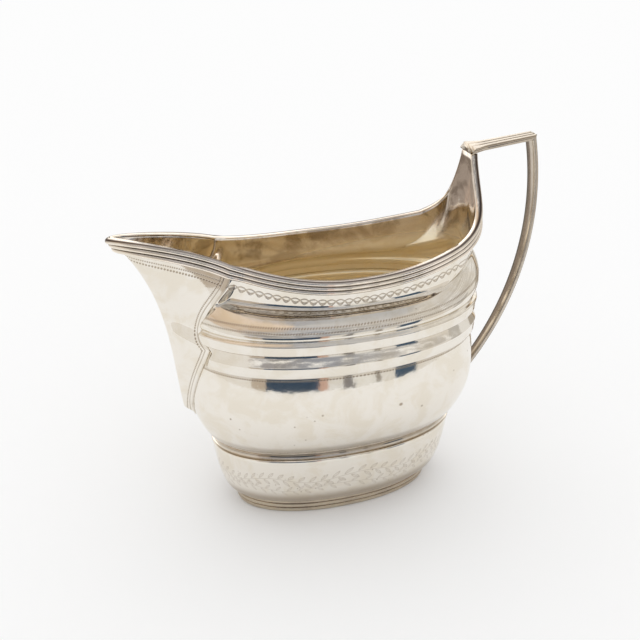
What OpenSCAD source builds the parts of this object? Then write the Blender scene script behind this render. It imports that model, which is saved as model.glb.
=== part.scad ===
// Oval silver cream jug: a raised body with two girdles and a tall rear riser, a let-in
// beak spout, a reeded rim wire in two halves, a band and a reeded wire for a foot, a base
// plate, and a handle made of a reeded bar and a plain strap mitred together.
// The spout points to -X, the handle to +X, and the foot stands on z = 0.

/* [Body] */
// length of the belly, without spout and handle
body_length = 85.8; // [80:0.1:92]
// width of the belly
body_width = 53.6; // [48:0.1:60]
// height at which the belly is full
belly_height = 41; // [36:0.1:46]
// roundness of the belly's turn into the step
belly_roundness = 2.2; // [1.8:0.05:3]
// squareness of the oval, two is a true ellipse
plan_exponent = 2.15; // [2:0.01:2.4]
// thickness of the silver sheet
sheet_thickness = 0.9; // [0.6:0.05:1.2]

/* [Girdles] */
// height of the lower girdle's middle
lower_girdle_height = 54.1; // [52:0.1:55]
// height of the upper girdle's middle
upper_girdle_height = 60.4; // [59.5:0.1:62]
// how much of the wall the lower girdle takes up
lower_girdle_band = 3.8; // [3:0.1:5]
// how much of the wall the upper girdle takes up
upper_girdle_band = 3; // [2.4:0.1:4]
// how far both stand off the wall
girdle_relief = 1.1; // [0.6:0.05:1.5]

/* [Shoulder and neck] */
// length of the crease between shoulder and neck
crease_length = 83.6; // [78:0.1:90]
// width of the crease
crease_width = 45.8; // [42:0.1:50]
// height of the crease in the middle of the side
crease_height = 69.9; // [68:0.1:72]
// how much higher the crease lies at the handle
crease_lift = 6.2; // [4:0.1:8]
// how far the shoulder swells out between girdle and crease
shoulder_swell = 1.9; // [1:0.05:2.6]

/* [Rim] */
// length of the oval that the sides of the rim follow
rim_length = 89; // [86:0.1:94]
// width of the rim
rim_width = 39.6; // [36:0.1:43]
// height of the rim in the middle of the side
side_height = 76.6; // [74.5:0.1:79]
// depth of the reeded wire below the edge it covers
wire_depth = 2.8; // [2:0.05:3.6]
// how far the wire rises above that edge
wire_rise = 0.35; // [0.1:0.05:0.6]
// how far the reeds stand out from the wall
wire_relief = 1.1; // [0.8:0.05:1.5]

/* [Riser] */
// height of the riser's top edge, under the handle
riser_height = 102.6; // [96:0.1:108]
// height at which the riser leaves the rim
riser_root_height = 80.6; // [79.5:0.1:83]
// distance of the riser's top from the middle of the jug
riser_reach = 40; // [38:0.1:42]
// distance of the riser's root from the middle of the jug
riser_root_reach = 32; // [29:0.1:34]
// width of the riser's top edge
riser_top_width = 7.2; // [6:0.1:9]

/* [Spout] */
// distance of the lip's tip from the middle of the jug
lip_reach = 61; // [56:0.1:66]
// height of the lip's tip
lip_height = 88; // [84:0.1:92]
// distance of the seam at the rim from the middle of the jug
seam_reach = 31.5; // [28:0.1:33]
// height of the rim at the seam
seam_height = 81.2; // [79.5:0.1:83]
// width between the two seams at the rim
seam_width = 20.8; // [18:0.1:24]
// how far the root of the spout's front line stands off the belly
front_swell = 5.5; // [4:0.1:7]

/* [Foot] */
// height of the reeded foot wire
foot_height = 5; // [4:0.05:6]
// length of the foot wire where it stands
foot_length = 60; // [56:0.1:62]
// width of the foot wire where it stands
foot_width = 30; // [27:0.1:32]
// how far the foot wire widens on its way up
foot_flare = 1.1; // [0.5:0.05:1.5]
// wall of the foot wire at its top
foot_wall = 2.6; // [2.2:0.05:3.2]
// depth of the grooves between the reeds
reed_depth = 0.45; // [0.2:0.05:0.7]
// length of the band where it meets the body
step_length = 74.2; // [73.8:0.1:76]
// width of the band where it meets the body
step_width = 41; // [40.6:0.1:43]
// height of the step between band and body
step_height = 22.6; // [20:0.1:25]
// length of the body just above the step
waist_length = 72.8; // [71:0.1:73.2]
// width of the body just above the step
waist_width = 39.8; // [38:0.1:40.2]
// height of the base plate's underside above the table
base_lift = 2.4; // [1:0.05:3]
// thickness of the base plate
base_thickness = 1.1; // [0.8:0.05:1.4]

/* [Handle] */
// thickness of the strap
strap_thickness = 1.6; // [1.2:0.05:2.2]
// width of the bar at the riser
bar_width = 5.8; // [4.8:0.1:7]
// width of bar and strap at the mitred corner
corner_width = 4.8; // [4:0.1:6]
// width of the strap where it meets the body
tail_width = 3.2; // [2.4:0.1:4.4]
// height of the reeds on the bar
bar_reed_relief = 0.35; // [0.2:0.05:0.5]
// distance of the inner corner from the middle of the jug
corner_reach = 58; // [55:0.1:61]
// how far the bar climbs from the riser to the corner
bar_climb = 2; // [0.5:0.1:3]
// reach of the upper pull on the strap's curve
upper_pull_reach = 64.5; // [61:0.1:68]
// height of the upper pull
upper_pull_height = 82; // [78:0.1:86]
// reach of the lower pull on that curve
lower_pull_reach = 61; // [58:0.1:64]
// height of the lower pull
lower_pull_height = 54; // [50:0.1:58]
// height of the middle of the strap's tail on the wall
tail_height = 29.6; // [28.5:0.1:32]

/* [Fits] */
// layer of solder between two pieces
solder_gap = 0.05; // [0.03:0.01:0.08]

/* [Hidden] */

silver = [0.84, 0.83, 0.8];
gilt = [0.83, 0.74, 0.52];
worn_silver = [0.62, 0.58, 0.52];

// counts of rows and columns in the meshes
side_columns = 32;
front_columns = 4;
cheek_columns = 8;
belly_rows = 7;
shoulder_rows = 6;
band_rows = 7;
grip_rows = 16;
// row of the wall on which the opening for the spout starts
notch_row = 5;
// how far a piece is drawn past the plane that cuts it
overrun = 1;

// plan angles: edge of the riser's flat top, root of the riser, seam of the spout at the rim
riser_top_angle = 8;
riser_root_angle = 50;
seam_top_angle = 146;
// plan angle of the seam by the share of the way from the opening's foot to the crease
seam_shares = [[0, 176], [0.3, 167], [0.58, 156], [0.72, 166], [0.85, 164], [1, 146]];
// share of the crease's lift that the front gets
front_lift_share = 0.35;
// ways up the neck, from the crease to the rim
neck_shares = [0.2, 0.45, 0.72, 1];
// one reed: way across it, height of its back
reed_shares = [[0, 0], [0.16, 0.72], [0.5, 1], [0.84, 0.72]];
// stations across a girdle, from its lower to its upper edge
bead_shares = [-1, -0.7, 0, 0.7, 1];

// helpers
function mix(p, q, t) = p + (q - p) * t;
function unit(v) = v / norm(v);
function smooth(t) = let (u = max(0, min(1, t))) u * u * (3 - 2 * u);
function soft(v, e) = sign(v) * pow(abs(v), e);
function oval(a, b, turn) =
    [a * soft(cos(turn), 2 / plan_exponent), b * soft(sin(turn), 2 / plan_exponent)];
function oval_width(b, share) = b * pow(1 - pow(share, plan_exponent), 1 / plan_exponent);
function mirrored(p) = [p[0], -p[1], p[2]];

// the levels of the wall, each with height, lift at the handle, half length, half width
// and how much of the girdle's relief it carries
function belly_level(t) = let (full = 1 - pow(1 - t, belly_roundness))
    [mix(step_height, belly_height, t), 0, mix(waist_length, body_length, full) / 2,
        mix(waist_width, body_width, full) / 2, 0];
function girdle_levels(height, band) = [for (v = bead_shares)
    [height + v * band / 2, 0, body_length / 2, body_width / 2, sqrt(1 - v * v)]];
shoulder_height = upper_girdle_height + upper_girdle_band / 2;
// softness of the swell's ends, one is a plain arch
swell_power = 0.8;
function shoulder_level(t) = let (out = shoulder_swell * pow(sin(180 * t), swell_power))
    [mix(shoulder_height, crease_height, t), crease_lift * t,
        mix(body_length, crease_length, t) / 2 + out,
        mix(body_width, crease_width, t) / 2 + out, 0];
levels = concat(
    [for (k = [0 : belly_rows]) belly_level(k / belly_rows)],
    [[mix(belly_height, lower_girdle_height - lower_girdle_band / 2, 0.5), 0, body_length / 2,
        body_width / 2, 0]],
    girdle_levels(lower_girdle_height, lower_girdle_band),
    girdle_levels(upper_girdle_height, upper_girdle_band),
    [for (k = [1 : shoulder_rows]) shoulder_level(k / shoulder_rows)]);
level_count = len(levels);
wall_rows = level_count + len(neck_shares);
top_row = wall_rows - 1;

// the seam: plan angle of the opening's edge on each row, and the columns between the seams
function seam_turn(row) = row >= level_count ? seam_top_angle
    : lookup((levels[row][0] - levels[notch_row][0]) / (crease_height - levels[notch_row][0]),
        seam_shares);
function turn_of(row, c) = seam_turn(row) * (c / side_columns - 1);
// the girdles die away over the few columns beside the spout
fade_shares = [1, 3] / side_columns;
function fade(row, turn) = smooth((1 - abs(turn) / seam_turn(row) - fade_shares[0])
    / (fade_shares[1] - fade_shares[0]));

// the rim line from the riser round the side to the seam, by plan angle
side_half = rim_width / 2;
root_half = oval_width(side_half, riser_root_reach / (rim_length / 2));
sweep_power = 2.2;
function side_x(turn) = mix(-seam_reach, riser_root_reach,
    (cos(turn) - cos(seam_top_angle)) / (cos(riser_root_angle) - cos(seam_top_angle)));
function side_point(x) = x > 0
    ? [x, oval_width(side_half, x / (rim_length / 2)),
        mix(side_height, riser_root_height, pow(x / riser_root_reach, sweep_power))]
    : [x, mix(seam_width / 2, side_half, cos(90 * x / seam_reach)),
        mix(side_height, seam_height, pow(-x / seam_reach, sweep_power))];
function riser_point(h) = [mix(riser_reach, riser_root_reach, pow(1 - h, 6)),
    mix(riser_top_width / 2, root_half, pow(1 - h, 1.3)),
    mix(riser_root_height, riser_height, h)];
function rim_line(turn) = turn < riser_top_angle
    ? [riser_reach, riser_top_width / 2 * turn / riser_top_angle, riser_height]
    : turn < riser_root_angle
    ? riser_point(pow((riser_root_angle - turn) / (riser_root_angle - riser_top_angle), 1.5))
    : side_point(side_x(turn));
function rim_point(turn) = turn < 0 ? mirrored(rim_line(-turn)) : rim_line(turn);

// a point of the wall's outer or inner face, its outward direction, and points off the wall
function level_point(row, turn, inset) =
    let (s = levels[row], out = s[4] * girdle_relief * fade(row, turn) - inset,
        p = oval(s[2] + out, s[3] + out, turn),
        lift = pow(cos(turn), 4) * (cos(turn) > 0 ? 1 : front_lift_share))
    [p[0], p[1], s[0] + s[1] * lift];
side_look_angle = 2;
function outward(p, q) = unit([q[1] - p[1], p[0] - q[0], 0]);
function rim_out(turn) = outward(rim_point(turn - side_look_angle), rim_point(turn + side_look_angle));
function wall_point(row, turn, inset) = row < level_count ? level_point(row, turn, inset)
    : mix(level_point(level_count - 1, turn, inset), rim_point(turn) - rim_out(turn) * inset,
        neck_shares[row - level_count]);
function wall_out(row, turn) =
    outward(wall_point(row, turn - side_look_angle, 0), wall_point(row, turn + side_look_angle, 0));
function off_wall(row, turn, off) = wall_point(row, turn, 0) + wall_out(row, turn) * off;

// two grids of points, outer and inner, closed into one solid
module thick(outer, inner, ring) {
    rows = len(outer);
    cols = len(outer[0]);
    half = rows * cols;
    last = ring ? cols - 1 : cols - 2;
    points = concat([for (r = outer) for (p = r) p], [for (r = inner) for (p = r) p]);
    faces = concat(
        [for (r = [0 : rows - 2]) for (c = [0 : last]) for (k = [0 : 3])
            let (a = r * cols + c, b = r * cols + (c + 1) % cols)
            k == 0 ? [a, b + cols, b]
                : k == 1 ? [a, a + cols, b + cols]
                : k == 2 ? [half + a, half + b, half + b + cols]
                : [half + a, half + b + cols, half + a + cols]],
        [for (c = [0 : last]) for (k = [0 : 3])
            let (a = c, b = (c + 1) % cols, top = (rows - 1) * cols)
            k == 0 ? [a, b, half + b]
                : k == 1 ? [a, half + b, half + a]
                : k == 2 ? [top + a, half + top + b, top + b]
                : [top + a, half + top + a, half + top + b]],
        ring ? [] : [for (r = [0 : rows - 2]) for (k = [0 : 3])
            let (a = r * cols, b = a + cols, e = a + cols - 1, f = e + cols)
            k == 0 ? [a, half + a, half + b]
                : k == 1 ? [a, half + b, b]
                : k == 2 ? [e, half + f, half + e]
                : [e, f, half + f]]);
    polyhedron(points = points, faces = faces);
}

// the wall: a closed oval up to the notch row, open in front between the seams above it
closed_columns = 2 * side_columns + front_columns;
open_columns = 2 * side_columns + 1;
closed_count = (notch_row + 1) * closed_columns;
function front_turn(row, k) = mix(seam_turn(row), 360 - seam_turn(row), k / front_columns);
function wall_line(row, inset) = concat(
    [for (c = [0 : 2 * side_columns]) wall_point(row, turn_of(row, c), inset)],
    row > notch_row ? [] : [for (k = [1 : front_columns - 1])
        wall_point(row, front_turn(row, k), inset)]);
function wall_id(row, c) = row <= notch_row ? row * closed_columns + c % closed_columns
    : closed_count + (row - notch_row - 1) * open_columns + c;
function pair(a, b, half) = [[a, b, half + b], [a, half + b, half + a]];

module body_wall() {
    half = closed_count + (top_row - notch_row) * open_columns;
    end = 2 * side_columns;
    points = [for (inset = [0, sheet_thickness]) for (r = [0 : top_row])
        for (p = wall_line(r, inset)) p];
    skins = [for (r = [0 : top_row - 1])
        for (c = [0 : (r < notch_row ? closed_columns : end) - 1]) for (k = [0 : 3])
        let (a = wall_id(r, c), b = wall_id(r, c + 1), d = wall_id(r + 1, c),
            e = wall_id(r + 1, c + 1))
        k == 0 ? [a, e, b]
            : k == 1 ? [a, d, e]
            : k == 2 ? [half + a, half + b, half + e]
            : [half + a, half + e, half + d]];
    foot_edge = [for (c = [0 : closed_columns - 1])
        for (f = pair(wall_id(0, c), wall_id(0, c + 1), half)) f];
    rim_edge = [for (c = [0 : end - 1])
        for (f = pair(wall_id(top_row, c + 1), wall_id(top_row, c), half)) f];
    notch_edge = [for (c = [end : closed_columns - 1])
        for (f = pair(wall_id(notch_row, c + 1), wall_id(notch_row, c), half)) f];
    seam_edges = [for (r = [notch_row : top_row - 1])
        for (f = concat(pair(wall_id(r + 1, 0), wall_id(r, 0), half),
            pair(wall_id(r, end), wall_id(r + 1, end), half))) f];
    color(silver) polyhedron(points = points,
        faces = concat(skins, foot_edge, rim_edge, notch_edge, seam_edges));
}

// the spout: a strip over each edge of the opening and two cheeks meeting at the front line
seam_low = levels[notch_row][0];
// how blunt the lip is, and how much each side of it is drawn in, as shares
lip_blunt_share = 0.85;
lip_hollow_share = 0.06;
front_root = body_length / 2 + sheet_thickness;
function front_line(z) = let (t = (z - seam_low) / (lip_height - seam_low))
    -mix(front_root + front_swell * sqrt(t), lip_reach, pow(t, 4));
function across(s, w) = mix(1 - s, pow(1 - s, lip_blunt_share) - lip_hollow_share * sin(180 * s), w);
function along(s, w) = mix(pow(1 - s, 2), 1 - s, w);
function down(s, w) = mix(1 - s, 1 - sin(90 * s), w);
function cheek_point(row, s, off) =
    let (turn = seam_turn(row),
        edge = off_wall(row, turn, solder_gap + off),
        up = (wall_point(row, turn, 0)[2] - seam_low) / (seam_height - seam_low),
        high = mix(seam_low, lip_height, up),
        w = smooth(up))
    row <= notch_row ? off_wall(row, mix(turn, 180, s), solder_gap + off)
        : [mix(front_line(high) + sheet_thickness - off, edge[0], along(s, w)),
            edge[1] * across(s, w), mix(high, edge[2], down(s, w))];
function strip_turn(row) = turn_of(row, 2 * side_columns - 1);
function spout_half(row, off) = concat([off_wall(row, strip_turn(row), solder_gap + off)],
    [for (k = [0 : cheek_columns]) cheek_point(row, k / cheek_columns, off)]);
function spout_line(row, off) = let (h = spout_half(row, off), n = len(h))
    concat(h, [for (k = [2 : n]) mirrored(h[n - k])]);

module spout() {
    rows = [notch_row - 1 : top_row];
    color(silver) thick([for (r = rows) spout_line(r, sheet_thickness)],
        [for (r = rows) spout_line(r, 0)], false);
}

// three reeds side by side, as ways across them and heights of their backs
function reeds(count) = concat(
    [for (n = [0 : count - 1]) for (s = reed_shares) [(n + s[0]) / count, s[1]]], [[1, 0]]);

// the rim wire: reeds on a path from the riser round the side to the tip of the lip
wire_start_turn = 10;
wire_columns = 30;
wire_last = wire_columns + cheek_columns;
wire_reeds = 3;
// thickness of the wire in its grooves, as a share of its relief
groove_share = 0.35;
// share of the depth that the wire keeps on top of the riser
riser_depth_share = 0.62;
// room for the curve of the wall under the flat back of the wire
wire_clearance = 0.12;
step_over_angles = [130, 140];
function wire_turn(k) = mix(wire_start_turn, seam_top_angle, k / wire_columns);
// close to the seam the wire steps out over the edge of the spout
function step_over(turn) = (sheet_thickness + solder_gap)
    * smooth((turn - step_over_angles[0]) / (step_over_angles[1] - step_over_angles[0]));
function wire_seat(k, rows_down) = let (row = top_row - rows_down, turn = wire_turn(k))
    k > wire_columns ? cheek_point(row, (k - wire_columns) / cheek_columns, sheet_thickness)
        : off_wall(row, turn, step_over(turn));
function wire_way(k) = k == wire_last ? [0, -1, 0]
    : unit(wire_seat(min(k + 1, wire_last), 0) - wire_seat(max(k - 1, 0), 0));
function wire_keep(k) = k > wire_columns ? 1
    : mix(riser_depth_share, 1, smooth(wire_turn(k) / riser_root_angle));
function wire_line(k, backs) =
    let (seat = wire_seat(k, 0), way = wire_way(k), lean = unit(wire_seat(k, 1) - seat),
        turned = unit(cross(way, lean)),
        away = turned * (turned * [seat[0], seat[1], 0] > 0 ? 1 : -1),
        aside = unit(cross(away, way)),
        fall = aside * (aside * lean > 0 ? 1 : -1))
    [for (s = reeds(wire_reeds))
        let (out = backs ? wire_relief * mix(groove_share, 1, s[1]) : 0,
            p = seat + fall * mix(-wire_rise, wire_depth * wire_keep(k), s[0])
                + away * (wire_clearance + out))
        k == wire_last ? [p[0], solder_gap / 2, p[2]] : p];

module rim_wire() {
    thick([for (k = [0 : wire_last]) wire_line(k, true)],
        [for (k = [0 : wire_last]) wire_line(k, false)], false);
}

module rim_wire_right() {
    color(silver) rim_wire();
}

module rim_wire_left() {
    color(silver) mirror([0, 1, 0]) rim_wire();
}

// the band between the foot wire and the step, with a ledge that carries the wall
ring_angles = [for (c = [0 : closed_columns - 1]) c * 360 / closed_columns];
// how soon the band turns outward, one is a straight slope
turn_in_power = 0.36;
// how far the band's foot stands in from the wire's edge, all told
foot_inset = 0.4;
band_foot_length = foot_length + 2 * foot_flare - foot_inset;
band_foot_width = foot_width + 2 * foot_flare - foot_inset;
ledge_width = (step_length - waist_length) / 2 + sheet_thickness;
function band_line(t, inset) =
    let (out = pow(t, turn_in_power), z = mix(foot_height, step_height - solder_gap, t))
    [for (turn = ring_angles)
        let (p = oval(mix(band_foot_length, step_length, out) / 2 - inset,
            mix(band_foot_width, step_width, out) / 2 - inset, turn))
        [p[0], p[1], max(z, foot_height + solder_gap)]];
band_steps = [for (k = [0 : band_rows]) pow(k / band_rows, 2)];
module plinth_band() {
    color(silver) thick([for (t = band_steps) band_line(t, 0)],
        [for (t = band_steps) band_line(t, t == 1 ? ledge_width : sheet_thickness)], true);
}

// the foot wire: three reeds round an oval, cut flat where it stands
foot_reeds = 3;
foot_hole_length = foot_length + 2 * (foot_flare - foot_wall);
foot_hole_width = foot_width + 2 * (foot_flare - foot_wall);
foot_steps = concat([[-overrun / foot_height, 0]], reeds(foot_reeds));
function foot_line(s) = let (out = foot_flare * s[0] + reed_depth * (s[1] - 1))
    [for (turn = ring_angles) let (p = oval(foot_length / 2 + out, foot_width / 2 + out, turn))
        [p[0], p[1], s[0] * foot_height]];
function foot_hole_line(s) = [for (turn = ring_angles)
    let (p = oval(foot_hole_length / 2, foot_hole_width / 2, turn))
    [p[0], p[1], s[0] * foot_height]];
module foot_wire() {
    color(worn_silver) difference() {
        thick([for (s = foot_steps) foot_line(s)], [for (s = foot_steps) foot_hole_line(s)], true);
        translate([-foot_length, -foot_width, -foot_length])
            cube([2 * foot_length, 2 * foot_width, foot_length]);
    }
}

module base_plate() {
    color(gilt) translate([0, 0, base_lift]) linear_extrude(height = base_thickness)
        polygon([for (turn = ring_angles) oval(foot_hole_length / 2 - solder_gap,
            foot_hole_width / 2 - solder_gap, turn)]);
}

// the bar: it lies level on the riser's top edge and climbs to the mitred corner
bar_reeds = 4;
bar_overhang = 0.2;
bar_low = riser_height + solder_gap;
bar_start = riser_reach - sheet_thickness - bar_overhang;
bar_rest = riser_reach + bar_overhang;
corner_outer = corner_reach + strap_thickness;
bar_shares = [0, 0.33, 0.66, 1];
function bar_line(x, x_top, t) = let (half = mix(bar_width, corner_width, t) / 2)
    [for (top = [true, false]) [for (s = reeds(bar_reeds))
        [top ? x_top : x, mix(half, -half, s[0]), bar_low + bar_climb * t
            + (top ? strap_thickness + bar_reed_relief * (s[1] - 1) : 0)]]];
bar_lines = concat([bar_line(bar_start, bar_start, 0)],
    [for (t = bar_shares) let (x = mix(bar_rest, corner_reach, t))
        bar_line(x, t == 1 ? corner_outer : x, t)]);
module handle_bar() {
    color(silver) thick([for (b = bar_lines) b[0]], [for (b = bar_lines) b[1]], false);
}

// the grip: a strap along a curve from the mitre to the back of the wall
// how much lower the strap's outer face is at its edges than in its middle
grip_crown = 0.25;
// half of the tail's height on the wall, as a share of the strap's thickness
tail_share = 0.75;
// step along the curve that gives its direction
way_share = 0.01;
grip_shares = [-1, -0.5, 0, 0.5, 1];
level_backs = [for (s = levels) [s[0], s[2]]];
function wall_back(z, y) = let (a = lookup(z, level_backs))
    a * pow(1 - pow(abs(y) / (body_width / 2), plan_exponent), 1 / plan_exponent) + solder_gap;
grip_top = [(corner_reach + corner_outer) / 2 + solder_gap,
    bar_low + bar_climb + strap_thickness / 2 - solder_gap];
grip_end = [wall_back(tail_height, 0), tail_height];
grip_pulls = [[upper_pull_reach, upper_pull_height], [lower_pull_reach, lower_pull_height]];
function grip_curve(t) = pow(1 - t, 3) * grip_top + 3 * t * pow(1 - t, 2) * grip_pulls[0]
    + 3 * t * t * (1 - t) * grip_pulls[1] + pow(t, 3) * grip_end;
function grip_way(t) = unit(grip_curve(t + way_share) - grip_curve(t - way_share));
tail_half = strap_thickness * tail_share;
function grip_line(k, outer) =
    let (t = k / grip_rows, side = outer ? 1 : -1, w = grip_way(t),
        half = mix(corner_width, tail_width, t) / 2, z = tail_height - side * tail_half)
    [for (v = grip_shares)
        let (y = -half * v,
            back = outer ? strap_thickness / 2 - grip_crown * v * v : -strap_thickness / 2,
            p = grip_curve(t) + [-w[1], w[0]] * back)
        k == grip_rows ? [wall_back(z, y), y, z]
            : k > 0 ? [p[0], y, p[1]]
            : outer ? [corner_outer, y, bar_low + bar_climb + strap_thickness - bar_reed_relief
                - 2 * solder_gap]
            : [corner_reach, y, bar_low + bar_climb - 2 * solder_gap]];
module handle_grip() {
    color(silver) thick([for (k = [0 : grip_rows]) grip_line(k, true)],
        [for (k = [0 : grip_rows]) grip_line(k, false)], false);
}

body_wall();
spout();
rim_wire_left();
rim_wire_right();
plinth_band();
foot_wire();
base_plate();
handle_bar();
handle_grip();
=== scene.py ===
import math
import bmesh
import bpy
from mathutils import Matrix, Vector
from mathutils.kdtree import KDTree


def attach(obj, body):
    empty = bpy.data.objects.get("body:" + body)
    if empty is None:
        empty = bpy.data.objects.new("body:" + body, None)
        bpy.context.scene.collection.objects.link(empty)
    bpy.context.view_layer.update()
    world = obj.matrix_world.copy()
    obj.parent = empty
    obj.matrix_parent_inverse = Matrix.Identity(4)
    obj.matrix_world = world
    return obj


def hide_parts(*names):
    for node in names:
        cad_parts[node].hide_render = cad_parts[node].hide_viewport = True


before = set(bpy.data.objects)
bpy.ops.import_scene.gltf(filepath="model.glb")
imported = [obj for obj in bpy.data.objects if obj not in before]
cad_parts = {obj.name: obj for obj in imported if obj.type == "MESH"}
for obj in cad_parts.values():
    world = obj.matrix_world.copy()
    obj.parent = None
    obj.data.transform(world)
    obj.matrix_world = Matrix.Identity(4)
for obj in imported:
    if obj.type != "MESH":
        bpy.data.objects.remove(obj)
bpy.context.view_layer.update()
print("frame loaded")

mm = 0.001  # the jug is worked out in millimetres, and finishPiece makes it metres


# plain helpers

def mix(a, b, t):
    return a + (b - a) * t


def smooth(t):
    t = max(0.0, min(1.0, t))
    return t * t * (3 - 2 * t)


def risen(value, ends):
    return smooth((value - ends[0]) / (ends[1] - ends[0]))


def soft(value, power):
    return math.copysign(abs(value) ** power, value)


def bezier(points, t):
    a, b, c, d = points
    return a * (1 - t) ** 3 + b * (3 * t * (1 - t) ** 2) + c * (3 * t * t * (1 - t)) + d * t ** 3


def mirrored(point):
    return Vector((point.x, -point.y, point.z))


def oval(halfLength, halfWidth, turn, squareness):
    c, s = math.cos(math.radians(turn)), math.sin(math.radians(turn))
    return Vector((halfLength * soft(c, 2 / squareness), halfWidth * soft(s, 2 / squareness), 0))


# mesh helpers: a grid is bent into place and gets its maps, in millimetres or in reeds

def bentGrid(columns, rows, place, maps):
    bm = bmesh.new()
    bmesh.ops.create_grid(bm, x_segments=columns, y_segments=rows, size=0.5)
    across = {vert: (vert.co.x + 0.5, vert.co.y + 0.5) for vert in bm.verts}
    for name, pattern in maps.items():
        layer = bm.loops.layers.uv.new(name)
        spots = {vert: pattern(*across[vert]) for vert in bm.verts}
        for face in bm.faces:
            for loop in face.loops:
                loop[layer].uv = spots[loop.vert]
    for vert, spot in across.items():
        vert.co = place(*spot)
    return bm


def closeUp(bm, gap=0.002):
    bmesh.ops.remove_doubles(bm, verts=bm.verts, dist=gap)
    bmesh.ops.dissolve_degenerate(bm, edges=bm.edges, dist=gap / 10)


def fillEnds(bm):
    bmesh.ops.holes_fill(bm, edges=[e for e in bm.edges if e.is_boundary], sides=0)


def turnOutward(bm, inside):
    bmesh.ops.recalc_face_normals(bm, faces=bm.faces)
    if sum((f.calc_center_median() - inside).dot(f.normal) * f.calc_area() for f in bm.faces) < 0:
        bmesh.ops.reverse_faces(bm, faces=bm.faces)


def finishPiece(name, bm, materials, nodes, within, thickness=0):
    turnOutward(bm, Vector(within))
    bmesh.ops.scale(bm, vec=(mm, mm, mm), verts=bm.verts)
    for face in bm.faces:
        face.smooth = True
    mesh = bpy.data.meshes.new(name)
    bm.to_mesh(mesh)
    bm.free()
    piece = bpy.data.objects.new(name, mesh)
    bpy.context.scene.collection.objects.link(piece)
    for material in materials:
        mesh.materials.append(material)
    if thickness:
        wall = piece.modifiers.new("sheet", "SOLIDIFY")
        wall.thickness = thickness * mm
        wall.offset = -1
        wall.material_offset = len(materials) - 1
    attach(piece, "root")
    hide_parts(*nodes)
    print("made", name)


# shader helpers

def calc(tree, operation, *values, clamp=False):
    node = tree.nodes.new("ShaderNodeMath")
    node.operation = operation
    node.use_clamp = clamp
    for socket, value in zip(node.inputs, values):
        if isinstance(value, (int, float)):
            socket.default_value = value
        else:
            tree.links.new(value, socket)
    return node.outputs[0]


def fadeOut(tree, value, full, none):
    node = tree.nodes.new("ShaderNodeMapRange")
    node.interpolation_type = "SMOOTHSTEP"
    tree.links.new(value, node.inputs["Value"])
    for name, amount in (("From Min", full), ("From Max", none)):
        if isinstance(amount, (int, float)):
            node.inputs[name].default_value = amount
        else:
            tree.links.new(amount, node.inputs[name])
    node.inputs["To Min"].default_value = 1
    node.inputs["To Max"].default_value = 0
    return node.outputs["Result"]


def newGroup(name, inputs, outputs):
    group = bpy.data.node_groups.new(name, "ShaderNodeTree")
    for label, value in inputs.items():
        kind = "NodeSocketVector" if value is None else "NodeSocketFloat"
        socket = group.interface.new_socket(name=label, in_out="INPUT", socket_type=kind)
        if value is not None:
            socket.default_value = value
    for label in outputs:
        group.interface.new_socket(name=label, in_out="OUTPUT", socket_type="NodeSocketFloat")
    given, out = group.nodes.new("NodeGroupInput"), group.nodes.new("NodeGroupOutput")
    return group, given.outputs, out.inputs


def splitMap(tree, vector):
    node = tree.nodes.new("ShaderNodeSeparateXYZ")
    tree.links.new(vector, node.inputs[0])
    return node.outputs[0], node.outputs[1]


def centredIn(tree, value, pitch):
    return calc(tree, "SUBTRACT", calc(tree, "FLOORED_MODULO", value, pitch),
                calc(tree, "MULTIPLY", pitch, 0.5))


# engraving, wear and painted shade: a mark is at full strength in its core, and fades out from there
marks = {
    "prickCore": 0.65, "pitCore": 0.5, "cutAndShadeCore": 0.3, "chainCore": 0.4,  # shares of their reach
    "stemCore": 0.05, "leafCore": 0.04,  # in millimetres
    "grooveCore": 0.03,  # in reeds
    "chainStrands": ((1.25, 0.2), (0.75, 0.25), (-0.55, 0.3)),  # rise and drop of each strand
    "leafTilt": 48, "leafSway": 0.9, "leafSwayPitch": 1.3, "leafEnds": (0.96, 1.05),
}


def softMask(tree, away, reach, core):
    return fadeOut(tree, away, calc(tree, "MULTIPLY", reach, core), reach)


def farOff(tree, x, y):
    return calc(tree, "SQRT", calc(tree, "ADD", calc(tree, "MULTIPLY", x, x),
                                   calc(tree, "MULTIPLY", y, y)))


def prickedLineGroup():
    group, given, out = newGroup("pricked line", {"Map": None, "Offset": 0, "Pitch": 0.7,
                                                  "Radius": 0.2}, ["Mask"])
    along, down = splitMap(group, given["Map"])
    away = farOff(group, centredIn(group, along, given["Pitch"]),
                  calc(group, "SUBTRACT", down, given["Offset"]))
    group.links.new(softMask(group, away, given["Radius"], marks["prickCore"]), out["Mask"])
    return group


def pitGroup():
    group, given, out = newGroup("old pit", {"Map": None, "Along": 0, "Height": 0, "Radius": 0.4},
                                 ["Mask"])
    along, down = splitMap(group, given["Map"])
    away = farOff(group, calc(group, "SUBTRACT", along, given["Along"]),
                  calc(group, "SUBTRACT", down, given["Height"]))
    group.links.new(softMask(group, away, given["Radius"], marks["pitCore"]), out["Mask"])
    return group


def cutAndShadeLineGroup():
    group, given, out = newGroup("cut line", {"Map": None, "Offset": 0, "Width": 0.2}, ["Mask"])
    _, down = splitMap(group, given["Map"])
    away = calc(group, "ABSOLUTE", calc(group, "SUBTRACT", down, given["Offset"]))
    group.links.new(softMask(group, away, given["Width"], marks["cutAndShadeCore"]), out["Mask"])
    return group


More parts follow.
